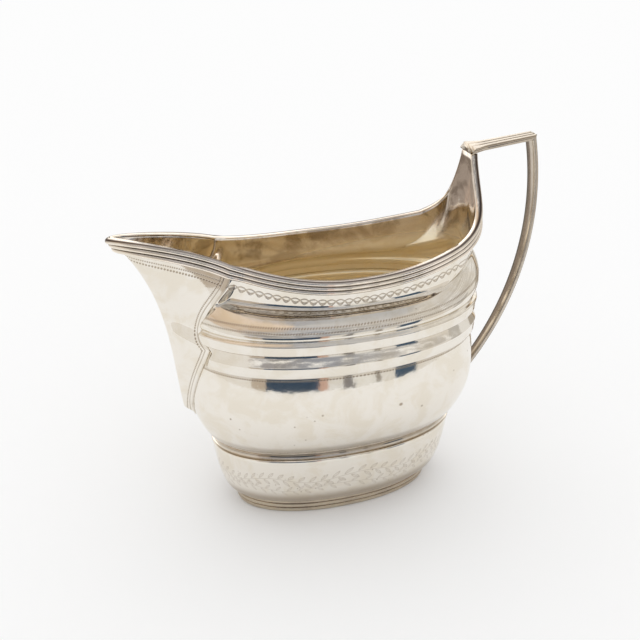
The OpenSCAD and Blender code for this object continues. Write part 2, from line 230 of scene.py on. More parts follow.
def chainGroup():
    group, given, out = newGroup("chain border", {"Map": None, "Offset": 0, "Pitch": 2.6,
                                                  "Rise": 0.7, "Width": 0.2}, ["Mask"])
    along, down = splitMap(group, given["Map"])
    y = calc(group, "SUBTRACT", down, given["Offset"])
    turn = calc(group, "DIVIDE", calc(group, "MULTIPLY", along, math.pi), given["Pitch"])
    arc = calc(group, "ABSOLUTE", calc(group, "SINE", turn))
    nearest = None
    for rise, drop in marks["chainStrands"]:
        curve = calc(group, "MULTIPLY", given["Rise"],
                     calc(group, "SUBTRACT", calc(group, "MULTIPLY", arc, rise), drop))
        away = calc(group, "ABSOLUTE", calc(group, "SUBTRACT", y, curve))
        nearest = away if nearest is None else calc(group, "MINIMUM", nearest, away)
    group.links.new(softMask(group, nearest, given["Width"], marks["chainCore"]), out["Mask"])
    return group


def leafGroup():
    group, given, out = newGroup("leafy sprig", {"Map": None, "Offset": 0, "Pitch": 3.2,
                                                 "Length": 1.5, "Breadth": 0.55,
                                                 "Spread": 1.5, "Width": 0.13}, ["Mask"])
    along, down = splitMap(group, given["Map"])
    pitch, tilt = given["Pitch"], math.radians(marks["leafTilt"])
    swayPhase = calc(group, "DIVIDE", along, calc(group, "MULTIPLY", pitch, marks["leafSwayPitch"]))
    sway = calc(group, "MULTIPLY", calc(group, "SINE", swayPhase), marks["leafSway"])
    y = calc(group, "SUBTRACT", calc(group, "SUBTRACT", down, given["Offset"]), sway)
    whole = fadeOut(group, calc(group, "ABSOLUTE", y), marks["stemCore"], given["Width"])
    for side in (1, -1):
        shifted = calc(group, "ADD", along, calc(group, "MULTIPLY", pitch, 0.5 if side > 0 else 0))
        x = centredIn(group, shifted, pitch)
        dy = calc(group, "MULTIPLY", calc(group, "SUBTRACT", y, calc(
            group, "MULTIPLY", given["Spread"], side)), side)
        p = calc(group, "ADD", calc(group, "MULTIPLY", x, math.cos(tilt)),
                 calc(group, "MULTIPLY", dy, math.sin(tilt)))
        q = calc(group, "SUBTRACT", calc(group, "MULTIPLY", dy, math.cos(tilt)),
                 calc(group, "MULTIPLY", x, math.sin(tilt)))
        px = calc(group, "DIVIDE", p, given["Length"])
        bow = calc(group, "MULTIPLY", given["Breadth"], calc(
            group, "SUBTRACT", 1, calc(group, "MULTIPLY", px, px), clamp=True))
        vein = calc(group, "ABSOLUTE", q)
        edge = calc(group, "ABSOLUTE", calc(group, "SUBTRACT", vein, bow))
        inReach = fadeOut(group, calc(group, "ABSOLUTE", px), *marks["leafEnds"])
        line = fadeOut(group, calc(group, "MINIMUM", edge, vein), marks["leafCore"], given["Width"])
        whole = calc(group, "MAXIMUM", whole, calc(group, "MULTIPLY", line, inReach))
    group.links.new(whole, out["Mask"])
    return group


# the old surface: each noise has its scale, detail, roughness and warp
surface = {
    "slowWaves": (0.09, 2, 0.5, 0), "slowHeight": 3.5,
    "quickWaves": (0.55, 3, 0.6, 0), "quickHeight": 0.35,
    "pitScale": 0.4, "pitEdge": (0.04, 0.14), "pitPatches": (0.07, 2, 0.5, 0), "patchEdge": (0.6, 0.54),
    "clouds": (0.12, 4, 0.65, 0.6), "cloudEdge": (0.62, 0.42), "cloudStrength": 0.6,
    "scratches": (2.6, 6, 0.75, 1.5), "scratchEdge": (0.7, 0.45),
}


def wearGroup():
    group, given, out = newGroup("old surface", {"Point": None, "Waviness": 0.03, "Pits": 1},
                                 ["Height", "Stain", "Scratch", "Pits"])
    scaled = group.nodes.new("ShaderNodeVectorMath")
    scaled.operation = "SCALE"
    scaled.inputs["Scale"].default_value = 1 / mm  # Object coordinates in millimetres
    group.links.new(given["Point"], scaled.inputs[0])

    def noise(scale, detail, roughness, warp):
        node = group.nodes.new("ShaderNodeTexNoise")
        node.inputs["Scale"].default_value = scale
        node.inputs["Detail"].default_value = detail
        node.inputs["Roughness"].default_value = roughness
        node.inputs["Distortion"].default_value = warp
        group.links.new(scaled.outputs[0], node.inputs["Vector"])
        return node.outputs["Fac"]

    slow = calc(group, "MULTIPLY", noise(*surface["slowWaves"]), surface["slowHeight"])
    quick = calc(group, "MULTIPLY", noise(*surface["quickWaves"]), surface["quickHeight"])
    waves = calc(group, "ADD", slow, quick)
    dots = group.nodes.new("ShaderNodeTexVoronoi")
    dots.inputs["Scale"].default_value = surface["pitScale"]
    dots.inputs["Randomness"].default_value = 1
    group.links.new(scaled.outputs[0], dots.inputs["Vector"])
    pits = calc(group, "MULTIPLY", fadeOut(group, dots.outputs["Distance"], *surface["pitEdge"]),
                fadeOut(group, noise(*surface["pitPatches"]), *surface["patchEdge"]))
    group.links.new(calc(group, "MULTIPLY", pits, given["Pits"]), out["Pits"])
    group.links.new(calc(group, "MULTIPLY", waves, given["Waviness"]), out["Height"])
    cloud = fadeOut(group, noise(*surface["clouds"]), *surface["cloudEdge"])
    group.links.new(calc(group, "MULTIPLY", cloud, surface["cloudStrength"]), out["Stain"])
    group.links.new(fadeOut(group, noise(*surface["scratches"]), *surface["scratchEdge"]),
                    out["Scratch"])
    return group


def reedGrooveGroup():
    group, given, out = newGroup("reed grooves", {"Map": None, "Width": 0.28}, ["Mask"])
    _, across = splitMap(group, given["Map"])
    near = calc(group, "PINGPONG", across, 0.5)
    group.links.new(fadeOut(group, near, marks["grooveCore"], given["Width"]), out["Mask"])
    return group


groups = {"pricked": prickedLineGroup(), "cut": cutAndShadeLineGroup(), "chain": chainGroup(),
          "leaves": leafGroup(), "pit": pitGroup(), "wear": wearGroup(),
          "grooves": reedGrooveGroup()}


# materials: each is old silver with its own colour, stain, wear and engraving; the body's silver also
# has a line of painted shadow under its upper girdle

def newMaterial(name):
    material = bpy.data.materials.new(name)
    material.use_nodes = True
    return material, material.node_tree, material.node_tree.nodes["Principled BSDF"]


def placeGroup(tree, name, source, **values):
    node = tree.nodes.new("ShaderNodeGroup")
    node.node_tree = groups[name]
    tree.links.new(source, node.inputs[0])
    for label, value in values.items():
        node.inputs[label].default_value = value
    return node.outputs


def mixColour(tree, mask, first, second):
    node = tree.nodes.new("ShaderNodeMix")
    node.data_type = "RGBA"
    for index, value in ((0, mask), (6, first), (7, second)):
        socket = node.inputs[index]
        if isinstance(value, tuple):
            socket.default_value = (*value, 1)
        else:
            tree.links.new(value, socket)
    return node.outputs[2]


def metalMaterial(name, look, engraving=()):
    material, tree, shader = newMaterial(name)
    shader.inputs["Metallic"].default_value = look["metallic"]
    point = tree.nodes.new("ShaderNodeTexCoord").outputs["Object"]
    wear = placeGroup(tree, "wear", point, Waviness=look["waviness"], Pits=look["pits"])
    cut = wear["Pits"]
    for kind, mapName, strength, values in engraving:
        uv = tree.nodes.new("ShaderNodeUVMap")
        uv.uv_map = mapName
        mask = placeGroup(tree, kind, uv.outputs[0], **values)["Mask"]
        cut = calc(tree, "MAXIMUM", cut, calc(tree, "MULTIPLY", mask, strength))
    colour = mixColour(tree, wear["Stain"], look["colour"], look["stain"])
    # the marks darken the colour: tarnish in cuts, pits and grooves, and painted shade on the body's
    # shadow line
    colour = mixColour(tree, calc(tree, "MULTIPLY", cut, look["cutAndShadeDark"]), colour, look["dirtAndShade"])
    height = calc(tree, "SUBTRACT", wear["Height"], calc(tree, "MULTIPLY", cut, look["cutDepth"]))
    scuffs = calc(tree, "MULTIPLY", wear["Scratch"], look["scuff"])
    rough = calc(tree, "ADD", look["roughness"], scuffs)
    if "rimColour" in look:
        up = tree.nodes.new("ShaderNodeSeparateXYZ")
        tree.links.new(point, up.inputs[0])
        level = calc(tree, "SUBTRACT", up.outputs[2],
                     calc(tree, "MULTIPLY", up.outputs[0], look["giltTilt"]))
        gilt = fadeOut(tree, level, look["giltTo"], look["giltEnd"])
        silver = mixColour(tree, wear["Stain"], look["rimColour"], look["rimStain"])
        colour = mixColour(tree, gilt, silver, colour)
        metallic = calc(tree, "SUBTRACT", 1, calc(tree, "MULTIPLY", gilt, 1 - look["metallic"]))
        tree.links.new(metallic, shader.inputs["Metallic"])
        rough = calc(tree, "ADD", rough, calc(tree, "MULTIPLY", gilt, look["giltRough"]))
    tree.links.new(colour, shader.inputs["Base Color"])
    tree.links.new(rough, shader.inputs["Roughness"])
    bump = tree.nodes.new("ShaderNodeBump")
    bump.inputs["Distance"].default_value = mm
    tree.links.new(height, bump.inputs["Height"])
    tree.links.new(bump.outputs[0], shader.inputs["Normal"])
    return material


# the dark mark colour is tarnish in engraved lines, pits and reed grooves, and painted shade on the
# body's shadow line
silverLook = {"metallic": 1, "colour": (0.86, 0.815, 0.74), "stain": (0.78, 0.71, 0.59),
              "dirtAndShade": (0.3, 0.22, 0.14), "roughness": 0.06, "scuff": 0.09, "waviness": 0.035,
              "pits": 1, "cutAndShadeDark": 0.75, "cutDepth": 0.035}
# the gilding inside ends below the rim, where the metal turns to stained silver
giltLook = dict(silverLook, metallic=0.5, colour=(1, 0.88, 0.62), stain=(0.98, 0.81, 0.51),
                roughness=0.1, pits=0.3, rimColour=(0.9, 0.83, 0.75), rimStain=(0.26, 0.2, 0.15),
                giltTo=0.064, giltEnd=0.077, giltTilt=0.14, giltRough=0.06)
footLook = dict(silverLook, colour=(0.66, 0.58, 0.46), stain=(0.5, 0.43, 0.35), roughness=0.24,
                waviness=0.03, cutDepth=0, cutAndShadeDark=0.95)
handleLook = dict(silverLook, colour=(0.6, 0.53, 0.44), stain=(0.45, 0.39, 0.33), roughness=0.18,
                  waviness=0.03, cutDepth=0)
wireLook = dict(silverLook, colour=(0.96, 0.87, 0.77), dirtAndShade=(0.04, 0.02, 0.015), cutDepth=0,
                waviness=0.01, pits=0, cutAndShadeDark=0.96)

bodySilver = metalMaterial("body silver", silverLook, [
    ("chain", "fromRim", 0.8, {"Offset": 6.0, "Pitch": 2.3, "Rise": 0.85, "Width": 0.2}),
    ("pricked", "level", 0.8, {"Offset": 65.2, "Radius": 0.24, "Pitch": 0.62}),
    ("pricked", "level", 0.8, {"Offset": 66.2, "Radius": 0.24, "Pitch": 0.62}),
    ("pricked", "level", 1, {"Offset": 51.4, "Radius": 0.3, "Pitch": 0.7}),
    ("cut", "level", 0.3, {"Offset": 51.9, "Width": 0.9}),
    # painted shadow: a dark line in the recess under the upper girdle's ledge, which also sinks the
    # surface a little
    ("cut", "level", 0.75, {"Offset": 59.0, "Width": 0.5}),
    ("pricked", "level", 1, {"Offset": 26.1, "Radius": 0.34, "Pitch": 0.74}),
    ("cut", "level", 0.6, {"Offset": 26, "Width": 3.2}),
    ("cut", "level", 1, {"Offset": 23.3, "Width": 1.9}),
    ("pit", "level", 1, {"Along": -46.1, "Height": 40.3, "Radius": 0.62}),
    ("pit", "level", 0.9, {"Along": -40, "Height": 37.6, "Radius": 0.42}),
    ("pit", "level", 0.9, {"Along": -86.8, "Height": 38.5, "Radius": 0.42}),
    ("pit", "level", 0.8, {"Along": -63, "Height": 40.9, "Radius": 0.36}),
])
spoutSilver = metalMaterial("spout silver", dict(silverLook, pits=0.4), [
    ("cut", "fromSeam", 0.8, {"Offset": 1.25, "Width": 0.2}),
    ("cut", "fromSeam", 0.5, {"Offset": 0, "Width": 0.5}),
    ("pricked", "fromSeam", 1, {"Offset": 2.1, "Radius": 0.27, "Pitch": 0.6}),
    ("pricked", "fromRim", 0.9, {"Offset": 4.9, "Radius": 0.27, "Pitch": 0.62}),
    ("pricked", "fromRim", 1, {"Offset": 6.0, "Radius": 0.36, "Pitch": 0.85}),
])
bandSilver = metalMaterial("band silver", dict(silverLook, cutDepth=0.02), [
    ("leaves", "level", 0.6, {"Offset": 14.6, "Pitch": 2.7, "Length": 1.25, "Breadth": 0.38,
                               "Spread": 1.25, "Width": 0.11}),
    ("leaves", "level", 0.45, {"Offset": 11.4, "Pitch": 3.1, "Length": 1.1, "Breadth": 0.3,
                              "Spread": 1, "Width": 0.1}),
    ("cut", "level", 0.85, {"Offset": 5, "Width": 5.5}),
    ("cut", "level", 0.8, {"Offset": 23.4, "Width": 1.5}),
])
giltInside = metalMaterial("pale gilt", giltLook)
footSilver = metalMaterial("worn silver", footLook, [("grooves", "reeds", 1, {"Width": 0.47})])
wireSilver = metalMaterial("rim silver", wireLook, [("grooves", "reeds", 1, {"Width": 0.35})])
handleSilver = metalMaterial("handle silver", handleLook)
barSilver = metalMaterial("bar silver", dict(handleLook, cutAndShadeDark=0.85),
                          [("grooves", "reeds", 1, {"Width": 0.3})])
print("materials ready")


# the camera stands where the photograph was taken from

camera = {
    "place": (-0.0757, -0.2309, 0.1764),
    "looksAt": (-0.0038, 0, 0.0563),
    "lens": 52.56,
    "sensor": 36,
    "nearest": 0.01,
}


def makeCamera():
    data = bpy.data.cameras.new("camera")
    data.lens = camera["lens"]
    data.sensor_width = camera["sensor"]
    data.clip_start = camera["nearest"]
    eye = bpy.data.objects.new("camera", data)
    eye.location = camera["place"]
    way = Vector(camera["looksAt"]) - eye.location
    eye.rotation_euler = way.to_track_quat("-Z", "Y").to_euler()
    bpy.context.scene.collection.objects.link(eye)
    bpy.context.scene.camera = eye


makeCamera()
print("camera placed")


# the body: a raised oval with two girdles, a shoulder and a neck that grows into the riser

body = {
    "length": 85.8, "width": 53.6, "squareness": 2.15, "sheet": 0.9, "within": (0, 0, 60),
    "waistHeight": 23.3, "waistLength": 73, "waistWidth": 40,
    "bellyHeight": 41, "bellyRoundness": 2.2, "taper": 1.1, "taperTop": 52.2, "shoulderFoot": 62.9,
    # heights on each girdle: its foot, where its band starts and ends, and the end of its cove
    "girdles": ((52.2, 52.8, 55.7, 58.5), (59.0, 59.4, 62.2, 62.9)), "girdleRelief": 1.35,
    "coveBend": 1.15, "bandLean": 0.16,
    "creaseHeight": 68.3, "creaseLift": 7.4, "creaseLength": 82.2, "creaseWidth": 40.4,
    "shoulderSwell": 2.2, "swellBend": 0.8, "frontLift": 0.35, "liftPower": 4,
    # pairs of turns: plan angles from +X over which the riser's shape gives way to the side's
    "creaseOut": 0.9, "creaseBend": 1.5, "creaseTurns": (45, 85),
    "riserCove": 2.5, "neckCove": 20, "coveTurns": (35, 80),
    "neckLean": 0.8, "leanTurns": (35, 60), "neckSpacing": 1.7,
}
rim = {
    "length": 89, "width": 39.6, "height": 76.6,
    "riserHeight": 102.6, "riserRootHeight": 80.6, "riserReach": 40, "riserRootReach": 32,
    "riserTopWidth": 5.6, "riserTopTurn": 8, "riserRootTurn": 50,
    "riserSpacing": 1.5, "riserReachBend": 6, "riserWidthBend": 1.3,
    "seamReach": 31.5, "seamHeight": 81.2, "seamWidth": 20.8, "seamTurn": 146, "sweep": 2.2,
}
seam = {
    "footHeight": 31.5, "footBend": 0.9, "cuspHeight": 57.2, "cuspTurn": 157,
    "narrowHeight": 61.4, "narrowTurn": 166, "topHeight": 75,
    "fadeOver": (0.3, 3.6), "flareBend": 0.8,
}
counts = {"columns": 280, "belly": 30, "side": 90, "shoulder": 20, "neck": 22, "path": 900}
halfGirth = 0.5 * math.pi * (body["length"] + body["width"]) / 2


def bellyLevel(t):
    full = 1 - (1 - t) ** body["bellyRoundness"]
    return (mix(body["waistHeight"], body["bellyHeight"], t), 0,
            mix(body["waistLength"], body["length"], full) / 2,
            mix(body["waistWidth"], body["width"], full) / 2, 0)


def girdleRelief(height):
    for low, flat, edge, high in body["girdles"]:
        if low < height < high:
            foot = 1 - body["bandLean"]
            if height < flat:
                return foot * math.sin(math.pi / 2 * (height - low) / (flat - low))
            if height < edge:
                return mix(foot, 1, (height - flat) / (edge - flat))
            return (1 - (height - edge) / (high - edge)) ** body["coveBend"]
    return 0


def sideLevel(height):
    climb = (height - body["bellyHeight"]) / (body["taperTop"] - body["bellyHeight"])
    taper = body["taper"] * min(1, climb) ** 2
    return (height, 0, body["length"] / 2 - taper, body["width"] / 2 - taper, girdleRelief(height))


def shoulderLevel(t):
    out = body["shoulderSwell"] * math.sin(math.pi * t) ** body["swellBend"]
    _, _, halfLength, halfWidth, _ = sideLevel(body["shoulderFoot"])
    return (mix(body["shoulderFoot"], body["creaseHeight"], t), body["creaseLift"] * t,
            mix(halfLength, body["creaseLength"] / 2, t) + out,
            mix(halfWidth, body["creaseWidth"] / 2, t) + out, 0)


def wallLevels():
    belly, side, shoulder = counts["belly"], counts["side"], counts["shoulder"]
    rows = [bellyLevel(k / belly) for k in range(belly)]
    rows += [sideLevel(mix(body["bellyHeight"], body["shoulderFoot"], k / side))
             for k in range(side)]
    return rows + [shoulderLevel(k / shoulder) for k in range(shoulder + 1)]


levels = wallLevels()
neckShares = [((k + 1) / counts["neck"]) ** body["neckSpacing"] for k in range(counts["neck"])]
topRow = len(levels) + len(neckShares) - 1


def sidePoint(x):
    half = rim["width"] / 2
    if x > 0:
        share = x / (rim["length"] / 2)
        y = half * (1 - share ** body["squareness"]) ** (1 / body["squareness"])
        return Vector((x, y, mix(rim["height"], rim["riserRootHeight"],
                                 (x / rim["riserRootReach"]) ** rim["sweep"])))
    y = mix(rim["seamWidth"] / 2, half, math.cos(math.pi / 2 * x / rim["seamReach"]))
    return Vector((x, y, mix(rim["height"], rim["seamHeight"],
                             (-x / rim["seamReach"]) ** rim["sweep"])))


def rimLine(turn):
    root, top, end = rim["riserRootTurn"], rim["riserTopTurn"], rim["seamTurn"]
    if turn < top:
        return Vector((rim["riserReach"], rim["riserTopWidth"] / 2 * turn / top,
                       rim["riserHeight"]))
    if turn < root:
        h = ((root - turn) / (root - top)) ** rim["riserSpacing"]
        low = sidePoint(rim["riserRootReach"])
        return Vector((mix(rim["riserReach"], low.x, (1 - h) ** rim["riserReachBend"]),
                       mix(rim["riserTopWidth"] / 2, low.y, (1 - h) ** rim["riserWidthBend"]),
                       mix(low.z, rim["riserHeight"], h)))
    cosine = [math.cos(math.radians(a)) for a in (turn, end, root)]
    share = (cosine[0] - cosine[1]) / (cosine[2] - cosine[1])
    return sidePoint(mix(-rim["seamReach"], rim["riserRootReach"], share))


def rimPoint(turn):
    return mirrored(rimLine(-turn)) if turn < 0 else rimLine(turn)


def seamTurn(height):
    low, cusp, narrow = seam["footHeight"], seam["cuspHeight"], seam["narrowHeight"]
    if height <= low:
        return 180
    if height < cusp:
        share = (height - low) / (cusp - low)
        return mix(180, seam["cuspTurn"], share ** seam["footBend"])
    if height < narrow:
        share = (height - cusp) / (narrow - cusp)
        return mix(seam["cuspTurn"], seam["narrowTurn"], math.sin(math.pi / 2 * share))
    share = smooth((height - narrow) / (seam["topHeight"] - narrow))
    return mix(seam["narrowTurn"], rim["seamTurn"], share)


def levelPoint(level, turn, relief=0):
    height, lift, halfLength, halfWidth, bead = level
    out = bead * relief * body["girdleRelief"]
    point = oval(halfLength + out, halfWidth + out, turn, body["squareness"])
    rise = math.cos(math.radians(turn)) ** body["liftPower"]
    point.z = height + lift * rise * (1 if abs(turn) < 90 else body["frontLift"])
    return point


# away from the riser the crease keeps close outside the rim

def creaseFrame(turn):
    # the crease and the rim above it, the way outward, and how far the crease moves
    crease, edge = levelPoint(levels[-1], turn), rimPoint(turn)
    way = levelPoint(levels[-1], turn + 1) - levelPoint(levels[-1], turn - 1)
    out = Vector((way.y, -way.x, 0)).normalized()
    shift = edge + out * body["creaseOut"] - crease
    shift.z = 0
    return crease, edge, out, shift * risen(abs(turn), body["creaseTurns"])


def rowSeam(row):
    if row < len(levels):
        return seamTurn(levels[row][0])
    return seamTurn(mix(body["creaseHeight"], rim["height"], neckShares[row - len(levels)]))


def mouldedPoint(row, turn, relief):
    if row < len(levels):
        point = levelPoint(levels[row], turn, relief)
        climb = 1 - (len(levels) - 1 - row) / counts["shoulder"]
        if climb > 0:
            point += creaseFrame(turn)[3] * climb ** body["creaseBend"]
        return point
    share = neckShares[row - len(levels)]
    crease, edge, out, shift = creaseFrame(turn)
    bend = mix(body["riserCove"], body["neckCove"], risen(abs(turn), body["coveTurns"]))
    cove = (1 - share) ** bend
    inset = body["neckLean"] * (1 - share) * (1 - cove) * risen(abs(turn), body["leanTurns"])
    point = edge.lerp(crease + shift, cove) - out * inset
    point.z = mix(crease.z, edge.z, share)
    return point


# beside the spout the shoulder and the girdles die into a plain flare from the belly to the rim

def wallPoint(row, turn, relief=0):
    point = mouldedPoint(row, turn, relief)
    edge = rimPoint(turn)
    climb = max(0, (point.z - body["taperTop"]) / (edge.z - body["taperTop"]))
    if climb == 0 or relief == 1:
        return point
    plain = levelPoint(sideLevel(body["taperTop"]), turn).lerp(edge, climb ** seam["flareBend"])
    return Vector((mix(plain.x, point.x, relief), mix(plain.y, point.y, relief), point.z))


def outward(row, turn, relief=0, step=0.5):
    way = wallPoint(row, turn + step, relief) - wallPoint(row, turn - step, relief)
    return Vector((way.y, -way.x, 0)).normalized()


def pathTree(points):
    tree = KDTree(len(points))
    lengths = [0.0]
    for before, after in zip(points, points[1:]):
        lengths.append(lengths[-1] + (after - before).length)
    for k, point in enumerate(points):
        tree.insert(point, k)
    tree.balance()
    return tree, lengths


def mapFrom(path, point):
    tree, lengths = path
    _, k, away = tree.find(Vector((point.x, abs(point.y), point.z)))
    return (lengths[k], away)


def refined(place, start, end, count):
    return [place(mix(start, end, k / count)) for k in range(count + 1)]


def seamPoint(row):
    low = min(int(row), topRow - 1)
    ends = [wallPoint(k, rowSeam(k)) for k in (low, low + 1)]
    return ends[0].lerp(ends[1], row - low)


def bodyPlace(u, v):
    row = round(v * topRow)
    c = 2 * u - 1
    closed = rowSeam(row) == 180
    relief = 1 if closed else risen((1 - abs(c)) * halfGirth, seam["fadeOver"])
    return wallPoint(row, rowSeam(row) * c, relief)


def levelMap(u, v):
    row = min(round(v * topRow), len(levels) - 1)
    return (halfGirth * (2 * u - 1) * rowSeam(row) / 180, levels[row][0])


def makeBody():
    def rimMap(u, v):
        return mapFrom(rimPath, bodyPlace(u, v))

    bm = bentGrid(counts["columns"], topRow, bodyPlace, {"level": levelMap, "fromRim": rimMap})
    closeUp(bm)
    finishPiece("body", bm, [bodySilver, giltInside], ["body_wall"],
                body["within"], body["sheet"])


rimPath = pathTree(refined(rimLine, 0, rim["seamTurn"], counts["path"]))
makeBody()


# the spout: two cheeks that leave the wall along the seam and meet in a rounded prow

spout = {
    "lipReach": 61, "lipHeight": 88, "frontRoot": 43.4, "frontSwell": 5.2, "proud": 0.35,
    "sheet": 0.8, "rootEase": 0.06, "lipBend": 4, "lastTurn": 179, "overlap": 1.2,
    "overlapShare": 0.06, "leaveShare": 0.34, "leaveLift": 0.64, "leaveBend": 3,
    "prowShare": 0.28, "prowStand": 0.4, "columns": 60, "lipPath": 400, "within": (-30, 0, 50),
}
seamRow = next(k for k, level in enumerate(levels) if level[0] >= seam["footHeight"])
spoutRows = topRow - seamRow


def frontPoint(share):
    height = mix(levels[seamRow][0], spout["lipHeight"], share)
    root = levels[seamRow][2] + spout["proud"]
    line = mix(root, spout["frontRoot"] + spout["frontSwell"] * math.sqrt(share),
               smooth(share / spout["rootEase"]))
    return Vector((-mix(line, spout["lipReach"], share ** spout["lipBend"]), 0, height))


def proudPoint(row, turn):
    return wallPoint(row, turn) + outward(row, min(turn, spout["lastTurn"])) * spout["proud"]


def cheekPoint(row, s):
    turn = rowSeam(row)
    if s <= 0:
        return proudPoint(row, turn + s * spout["overlap"])
    edge = proudPoint(row, turn)
    share = (edge.z - levels[seamRow][0]) / (rim["seamHeight"] - levels[seamRow][0])
    front = frontPoint(max(0, min(1, share)))
    way = (wallPoint(row, turn) - wallPoint(row, turn - 1)).normalized()
    span = (front - edge).length
    leave = edge + way * (span * spout["leaveShare"])
    leave.z = mix(leave.z, mix(edge.z, front.z, spout["leaveLift"]), share ** spout["leaveBend"])
    stand = spout["prowStand"] * share
    prow = front + Vector((stand, edge.y * spout["prowShare"], stand))
    return bezier([edge, leave, prow, front], s)


def spoutPlace(u, v):
    row = seamRow + round(v * spoutRows)
    c = 2 * u - 1
    point = cheekPoint(row, (1 - abs(c) - spout["overlapShare"]) / (1 - spout["overlapShare"]))
    return point if c > 0 else mirrored(point)


def makeSpout():
    seamPath = pathTree(refined(seamPoint, seamRow, topRow, counts["path"]))
    lipPath = pathTree(refined(lambda s: cheekPoint(topRow, s), -spout["overlapShare"], 1,
                               spout["lipPath"]))

    def seamMap(u, v):
        return mapFrom(seamPath, spoutPlace(u, v))

    def lipMap(u, v):
        return mapFrom(lipPath, spoutPlace(u, v))

    bm = bentGrid(2 * spout["columns"], spoutRows, spoutPlace,
                  {"fromSeam": seamMap, "fromRim": lipMap})
    closeUp(bm)
    finishPiece("spout-panel", bm, [spoutSilver, giltInside], ["spout"],
                spout["within"], spout["sheet"])


makeSpout()


# the rim wire: three reeds from the riser round the side to the tip of the lip

wire = {
    "rise": 0.35, "depth": 3.5, "relief": 1.15, "reeds": 3, "reedPoints": 8,
    "inward": 0.95, "innerDrop": 0.1, "topShares": (0.9, 0.6), "sunk": 0.3,
    "firstTurn": 8.1, "sideSteps": 150, "lipSteps": 60, "riserShare": 0.62,
    # plan angles over which the wire steps out onto the spout, and follows the flare there
    "stepTurns": (138, 146), "flareTurns": 8, "leanRows": 4,
}
plainReed = 0.5  # a spot on the reeds' map that is clear of the grooves


def wirePath():
    # for each station its seat, the way down the wall, and how much of its depth the wire keeps
    path, lowRow = [], topRow - wire["leanRows"]
    for k in range(wire["sideSteps"]):
        turn = mix(wire["firstTurn"], rim["seamTurn"], k / wire["sideSteps"])
        out = spout["proud"] * risen(turn, wire["stepTurns"])
        relief = smooth((rim["seamTurn"] - turn) / wire["flareTurns"])
        seat = wallPoint(topRow, turn) + outward(topRow, turn) * out
        below = wallPoint(lowRow, turn, relief) + outward(lowRow, turn) * out
        keep = mix(wire["riserShare"], 1, smooth(turn / rim["riserRootTurn"]))
        path.append((seat, below - seat, keep))
    for k in range(wire["lipSteps"] + 1):
        s = k / wire["lipSteps"]
        seat, below = cheekPoint(topRow, s), cheekPoint(lowRow, s)
        path.append((seat, below - seat, 1))
    return path


def wireProfile():
    # each point: way out, way down, and its place on the reeds' map
    radius = (wire["rise"] + wire["depth"]) / wire["reeds"] / 2
    inner, upper = wire["topShares"]
    profile = [(-wire["inward"], wire["innerDrop"], plainReed),
               (-wire["inward"] * inner, -wire["rise"] * upper, plainReed)]
    for reed in range(wire["reeds"]):
        middle = -wire["rise"] + radius * (2 * reed + 1)
        for k in range(wire["reedPoints"] + 1):
            way = math.pi * k / wire["reedPoints"]
            profile.append((wire["relief"] - radius + radius * math.sin(way),
                            middle - radius * math.cos(way), reed + k / wire["reedPoints"]))
    for down in (wire["depth"], wire["depth"] / 2):
        profile.append((-wire["sunk"], down, wire["reeds"] + plainReed))
    return profile


def makeWire(side, name, node):
    path = wirePath()
    profile = wireProfile()
    count = len(path) - 1

    def place(u, v):
        k = round(v * count)
        seat, lean, keep = path[k]
        ahead = path[min(k + 1, count)][0] - path[max(k - 1, 0)][0]
        if k == count:
            ahead = Vector((0, -1, 0))
        out, down, _ = profile[round(u * len(profile)) % len(profile)]
        away = ahead.cross(lean).normalized()
        if away.dot(Vector((seat.x, seat.y, 0))) < 0:
            away = -away
        fall = away.cross(ahead).normalized()
        if fall.dot(lean) < 0:
            fall = -fall
        point = seat + away * out + fall * (down * keep if down > 0 else down)
        if k == count:
            point.y = 0
        return point if side > 0 else mirrored(point)

    def reedMap(u, v):
        return (v * count, profile[round(u * len(profile)) % len(profile)][2])

    bm = bentGrid(len(profile), count, place, {"reeds": reedMap})
    closeUp(bm)
    fillEnds(bm)
    finishPiece(name, bm, [wireSilver], [node], body["within"])


makeWire(1, "rim-wire-right", "rim_wire_right")
makeWire(-1, "rim-wire-left", "rim_wire_left")


# the plinth: a band under the waist, its reeded foot and the bottom plate

band = {
    "footLength": 61.8, "footWidth": 31.8, "stepLength": 74.2, "stepWidth": 41,
    "low": 5.05, "high": 22, "turnIn": 0.36, "columns": 240, "rows": 52,
    "coveDepth": 1.3, "coveRise": 1.5, "coveRows": 10, "sheet": 0.9, "within": (0, 0, 14),
}
foot = {
    "length": 60, "width": 30, "height": 5, "flare": 1.1, "wall": 2.6, "reeds": 3,
    "reedDepth": 0.45, "reedPoints": 10, "columns": 240, "within": (0, 0, 2),
}


def bandPlace(u, v):
    steps, wallRows = v * band["rows"], band["rows"] - band["coveRows"]
    t = min(1, steps / wallRows) ** 2
    cove = max(0, steps - wallRows) / band["coveRows"]
    inset = band["coveDepth"] * math.sin(math.pi / 2 * cove)
    out = t ** band["turnIn"]
    point = oval(mix(band["footLength"], band["stepLength"], out) / 2 - inset,
                 mix(band["footWidth"], band["stepWidth"], out) / 2 - inset,
                 360 * u, body["squareness"])
    rise = band["coveRise"] * (1 - math.cos(math.pi / 2 * cove))
    point.z = mix(band["low"], band["high"], t) + rise
    return point


def makeBand():
    def levelUp(u, v):
        return (u * math.pi * (band["stepLength"] + band["stepWidth"]) / 2, bandPlace(u, v).z)

    bm = bentGrid(band["columns"], band["rows"], bandPlace, {"level": levelUp})
    closeUp(bm)
    finishPiece("plinth-band", bm, [bandSilver, giltInside], ["plinth_band"],
                band["within"], band["sheet"])


